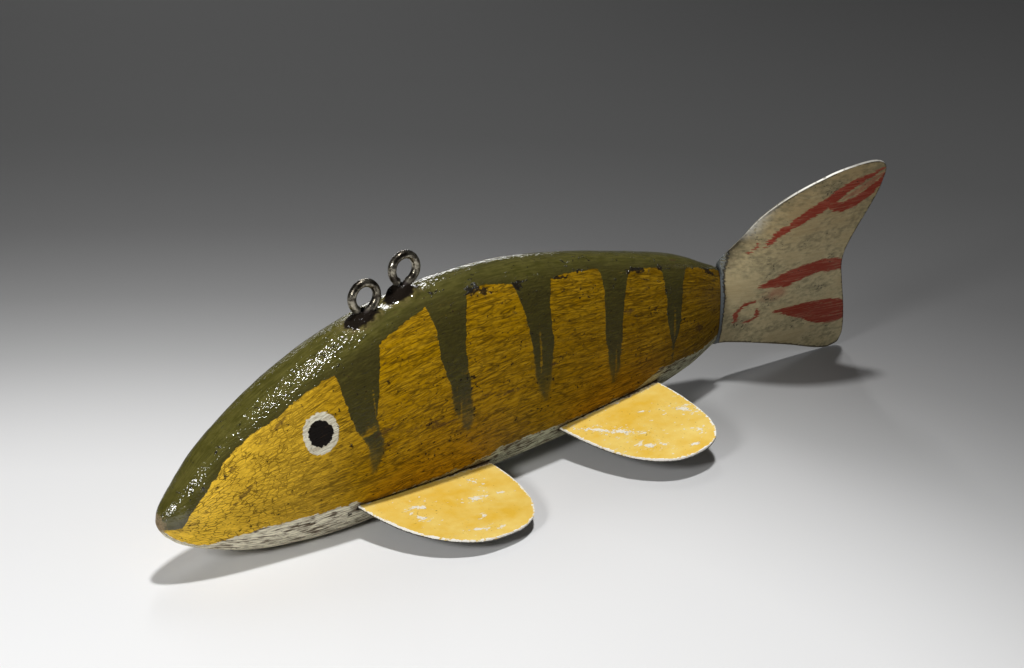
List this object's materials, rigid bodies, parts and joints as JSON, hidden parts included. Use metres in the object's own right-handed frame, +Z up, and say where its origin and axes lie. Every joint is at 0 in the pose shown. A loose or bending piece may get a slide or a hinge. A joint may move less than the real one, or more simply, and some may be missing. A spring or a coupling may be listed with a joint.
{
  "type": "fish decoy",
  "caption": "Carved and painted wooden fish decoy with a hand-bent sheet-metal tail, sheet-metal side fins set in saw slots, and wire screw eyes in its back.",
  "frame": {"origin": "on the surface it stands on, below the middle of its overall length and width", "axes": "+X towards the tail, nose towards -X, +Z up, the fish's left side towards -Y"},
  "size_m": [0.2558, 0.086, 0.0732],
  "materials": {
    "painted_wood": "old gloss paint, olive back and yellow sides with dark bars, crackled and worn",
    "yellow_sheet": "yellow paint over white primer on sheet metal, chipped",
    "off_white_sheet": "off-white paint with red brush strokes on sheet metal, soiled",
    "steel_wire": "dull tarnished wire"
  },
  "bodies": {
    "root": {"body": "painted_wood", "tail_fin": "off_white_sheet", "pectoral_fin_left": "yellow_sheet", "pectoral_fin_right": "yellow_sheet", "pelvic_fin_left": "yellow_sheet", "pelvic_fin_right": "yellow_sheet", "screw_eye_front": "steel_wire", "screw_eye_rear": "steel_wire"}
  },
  "joints": []
}
